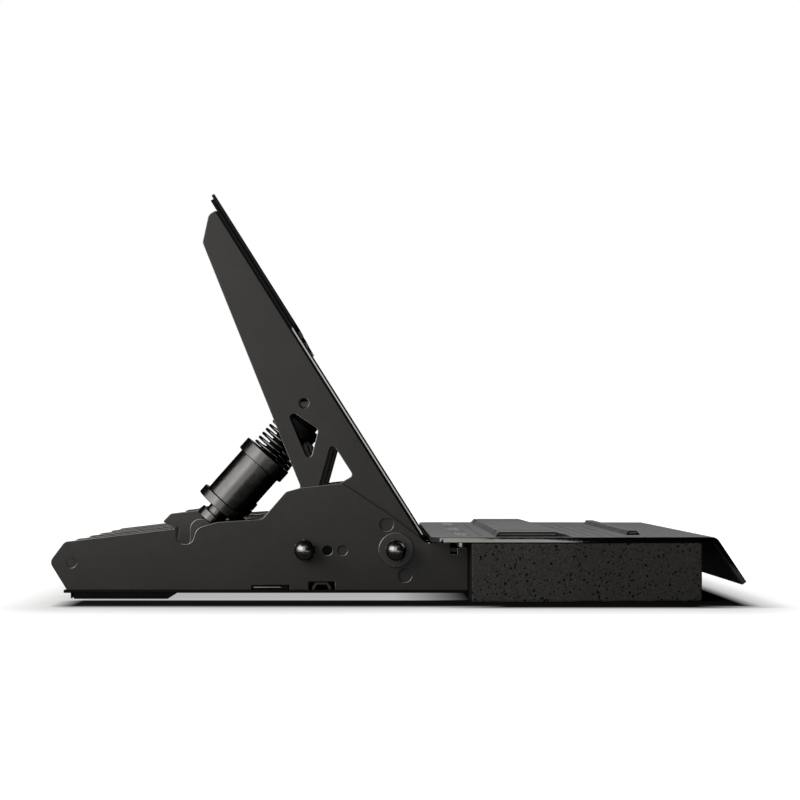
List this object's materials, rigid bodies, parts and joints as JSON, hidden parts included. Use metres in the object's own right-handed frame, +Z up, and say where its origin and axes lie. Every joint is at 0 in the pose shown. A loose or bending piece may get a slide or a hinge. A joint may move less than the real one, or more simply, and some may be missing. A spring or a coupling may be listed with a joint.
{
  "type": "sim racing pedal set",
  "caption": "Pedal set with clutch, brake and throttle arms, sprung struts in folded steel frames on a base plate, and a sloping heel plate over foam.",
  "frame": {"origin": "middle of the footprint, on the floor", "axes": "+X towards the driver, +Y to the driver's right, +Z up"},
  "size_m": [0.4588, 0.3014, 0.27],
  "materials": {
    "powder_coat": "fine textured powder coat, dark warm grey",
    "heel_coat": "textured powder coat, mid grey",
    "pad_coat": "satin black coat",
    "black_aluminium": "satin black anodised",
    "black_hardware": "gloss black zinc",
    "plated_steel": "zinc plated",
    "bare_aluminium": "milled",
    "spring_steel": "bright drawn wire",
    "rubber": "matt rubber",
    "foam": "open-cell foam, charcoal",
    "plastic": "moulded black plastic"
  },
  "bodies": {
    "base": {"base_plate": "powder_coat", "flat_cross_rail": "powder_coat", "arch_cross_rail": "plated_steel", "rear_feet": "rubber", "foam_block": "foam", "heel_plate": "heel_coat", "heel_plate_screws": "black_hardware", "heel_plate_spacers": "plated_steel", "frame_bridges": "powder_coat", "frame_studs": "powder_coat", "rear_tie_pins": "powder_coat", "pivot_bolts": "plated_steel", "pivot_washers": "black_hardware", "stop_bolts": "plated_steel", "stop_rubbers": "rubber", "dome_nuts": "black_hardware", "strut_lower_pins": "plated_steel", "pedal_sensors": "plastic", "brake_load_cell": "bare_aluminium", "controller_housing": "plastic", "controller_lid": "plastic", "controller_board": "plastic", "usb_socket": "plated_steel", "clutch_frame": "powder_coat", "clutch_strut_bracket": "plated_steel", "brake_frame": "powder_coat", "brake_strut_bracket": "plated_steel", "throttle_frame": "powder_coat", "throttle_strut_bracket": "plated_steel"},
    "clutch_arm": {"clutch_arm_plates": "powder_coat", "clutch_pivot_tube": "plated_steel", "clutch_face_plate": "powder_coat", "clutch_pad": "pad_coat", "clutch_arm_screws": "black_hardware", "clutch_trunnion": "black_aluminium", "clutch_trunnion_pin": "plated_steel"},
    "clutch_strut_barrel": {"clutch_barrel": "black_aluminium", "clutch_spring": "spring_steel"},
    "clutch_strut_plunger": {"clutch_plunger": "black_aluminium"},
    "brake_arm": {"brake_arm_plates": "powder_coat", "brake_pivot_tube": "plated_steel", "brake_face_plate": "powder_coat", "brake_pad": "pad_coat", "brake_arm_screws": "black_hardware", "brake_trunnion": "black_aluminium", "brake_trunnion_pin": "plated_steel"},
    "brake_strut_barrel": {"brake_barrel": "black_aluminium", "brake_spring": "spring_steel"},
    "brake_strut_plunger": {"brake_plunger": "black_aluminium"},
    "throttle_arm": {"throttle_arm_plates": "powder_coat", "throttle_pivot_tube": "plated_steel", "throttle_face_plate": "powder_coat", "throttle_pad": "pad_coat", "throttle_arm_screws": "black_hardware", "throttle_trunnion": "black_aluminium", "throttle_trunnion_pin": "plated_steel"},
    "throttle_strut_barrel": {"throttle_barrel": "black_aluminium", "throttle_spring": "spring_steel"},
    "throttle_strut_plunger": {"throttle_plunger": "black_aluminium"}
  },
  "joints": [
    {"name": "clutch_press", "type": "hinge", "parent": "base", "child": "clutch_arm", "pos_m": [0.0012, -0.0985, 0.0327], "axis": [0, -1, 0], "range_deg": [0, 11], "stiffness_Nm_per_rad": 20, "springref_deg": -14.32},
    {"name": "clutch_strut_swing", "type": "hinge", "parent": "base", "child": "clutch_strut_barrel", "pos_m": [-0.1299, -0.0985, 0.0459], "axis": [0, -1, 0], "range_deg": [0, 3.3]},
    {"name": "clutch_plunger_slide", "type": "slide", "parent": "clutch_strut_barrel", "child": "clutch_strut_plunger", "axis": [0.6636, 0, 0.7481], "range_m": [-0.0215, 0], "deforming": ["clutch_spring"]},
    {"name": "brake_press", "type": "hinge", "parent": "base", "child": "brake_arm", "pos_m": [0.0012, 0, 0.0327], "axis": [0, -1, 0], "range_deg": [0, 6], "stiffness_Nm_per_rad": 120, "springref_deg": -5.73},
    {"name": "brake_strut_swing", "type": "hinge", "parent": "base", "child": "brake_strut_barrel", "pos_m": [-0.1299, 0, 0.0459], "axis": [0, -1, 0], "range_deg": [0, 2]},
    {"name": "brake_plunger_slide", "type": "slide", "parent": "brake_strut_barrel", "child": "brake_strut_plunger", "axis": [0.6636, 0, 0.7481], "range_m": [-0.0118, 0], "deforming": ["brake_spring"]},
    {"name": "throttle_press", "type": "hinge", "parent": "base", "child": "throttle_arm", "pos_m": [0.0012, 0.0985, 0.0327], "axis": [0, -1, 0], "range_deg": [0, 11], "stiffness_Nm_per_rad": 12, "springref_deg": -14.32},
    {"name": "throttle_strut_swing", "type": "hinge", "parent": "base", "child": "throttle_strut_barrel", "pos_m": [-0.1299, 0.0985, 0.0459], "axis": [0, -1, 0], "range_deg": [0, 3.3]},
    {"name": "throttle_plunger_slide", "type": "slide", "parent": "throttle_strut_barrel", "child": "throttle_strut_plunger", "axis": [0.6636, 0, 0.7481], "range_m": [-0.0215, 0], "deforming": ["throttle_spring"]}
  ],
  "couplings": [
    {"joint": "clutch_strut_swing", "follows": "clutch_press", "ratio": 0.288},
    {"joint": "clutch_plunger_slide", "follows": "clutch_press", "m_per_rad": -0.1088},
    {"joint": "brake_strut_swing", "follows": "brake_press", "ratio": 0.303},
    {"joint": "brake_plunger_slide", "follows": "brake_press", "m_per_rad": -0.1078},
    {"joint": "throttle_strut_swing", "follows": "throttle_press", "ratio": 0.288},
    {"joint": "throttle_plunger_slide", "follows": "throttle_press", "m_per_rad": -0.1088}
  ]
}
